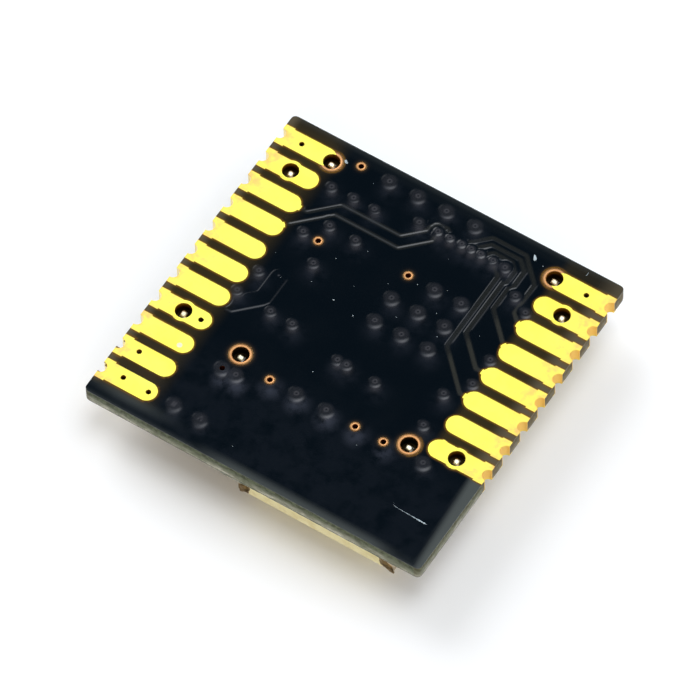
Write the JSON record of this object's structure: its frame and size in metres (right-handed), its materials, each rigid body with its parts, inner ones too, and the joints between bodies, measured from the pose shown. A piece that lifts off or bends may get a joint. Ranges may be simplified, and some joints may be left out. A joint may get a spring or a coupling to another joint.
{
  "type": "radio module",
  "caption": "Small square edge-soldered radio module, black board with gold edge contacts, resting on its shield can with the solder side up and a chip antenna at one edge.",
  "frame": {"origin": "middle of the board's outline, on the plane of the shield can's lid, which the module rests on", "axes": "+Z out of the soldered side, +X towards the edge with fewer contacts, +Y away from the antenna edge"},
  "size_m": [0.0152, 0.0148, 0.0023],
  "materials": {
    "laminate": "cut glass laminate",
    "solder_mask": "gloss black film",
    "gold": "soft gold plating",
    "copper": "dull copper",
    "solder": "bright solder",
    "can_steel": "tinned sheet",
    "antenna_ceramic": "smooth cream ceramic",
    "antenna_cap": "soldered end cap",
    "chip_mould": "moulded black resin",
    "tin": "matt tin",
    "crystal_ceramic": "dark ceramic",
    "capacitor_ceramic": "fired ceramic",
    "inductor_ceramic": "fired ceramic"
  },
  "bodies": {
    "root": {"laminate": "laminate", "back_mask": "solder_mask", "front_mask": "solder_mask", "tented_vias": "copper", "open_vias": "copper", "via_plug": "solder", "leg_sleeve_left": "copper", "leg_sleeve_right": "copper", "leg_solder": "solder", "shield_can": "can_steel", "antenna_body": "antenna_ceramic", "antenna_cap_left": "antenna_cap", "antenna_cap_right": "antenna_cap", "component_lands": "gold", "radio_chip": "chip_mould", "radio_chip_contacts": "tin", "crystal_base": "crystal_ceramic", "crystal_lid": "tin", "memory_chip": "chip_mould", "memory_chip_contacts": "tin", "regulator": "chip_mould", "regulator_leads": "tin", "radio_filter": "inductor_ceramic", "radio_filter_contacts": "tin", "capacitors": "capacitor_ceramic", "capacitor_caps": "tin", "resistors": "chip_mould", "resistor_caps": "tin", "inductors": "inductor_ceramic", "inductor_caps": "tin", "contact_left_01": "gold", "contact_left_02": "gold", "contact_left_03": "gold", "contact_left_04": "gold", "contact_left_05": "gold", "contact_left_06": "gold", "contact_left_07": "gold", "contact_left_08": "gold", "contact_left_09": "gold", "contact_left_10": "gold", "contact_left_11": "gold", "contact_right_01": "gold", "contact_right_02": "gold", "contact_right_03": "gold", "contact_right_04": "gold", "contact_right_05": "gold", "contact_right_06": "gold", "contact_right_07": "gold", "contact_right_08": "gold"}
  },
  "joints": []
}
